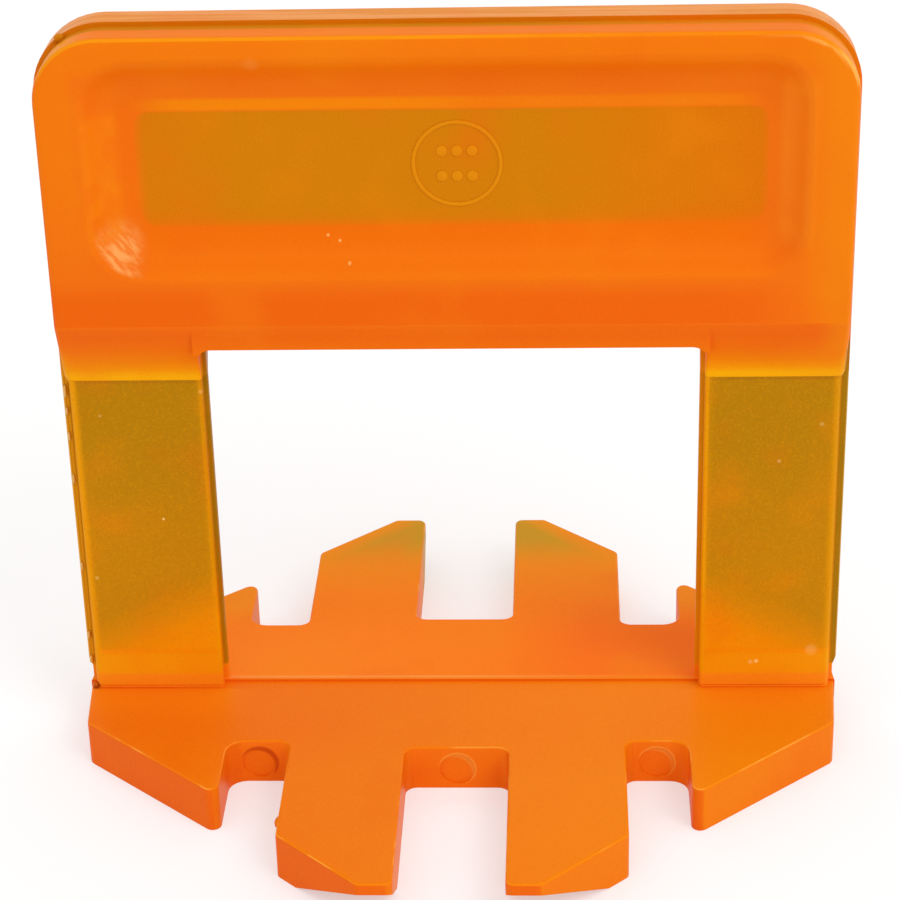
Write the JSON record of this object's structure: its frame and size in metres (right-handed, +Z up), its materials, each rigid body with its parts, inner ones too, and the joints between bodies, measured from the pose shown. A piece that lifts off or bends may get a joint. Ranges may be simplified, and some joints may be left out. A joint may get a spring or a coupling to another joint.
{
  "type": "tile levelling clip",
  "caption": "Tile levelling clip moulded in one piece: dished head over two thin break-away legs, wedge window, and a flat comb-shaped base that goes under the tiles.",
  "frame": {"origin": "middle of the underside of the base, under the legs' parting line", "axes": "+X across the clip, along the width of the head; +Z up from the base to the head; -Y is the front face in the picture"},
  "size_m": [0.046, 0.0414, 0.0456],
  "materials": {
    "orange_plastic": "translucent orange, semi-gloss as moulded"
  },
  "bodies": {
    "root": {"levelling_clip": "orange_plastic"}
  },
  "joints": []
}
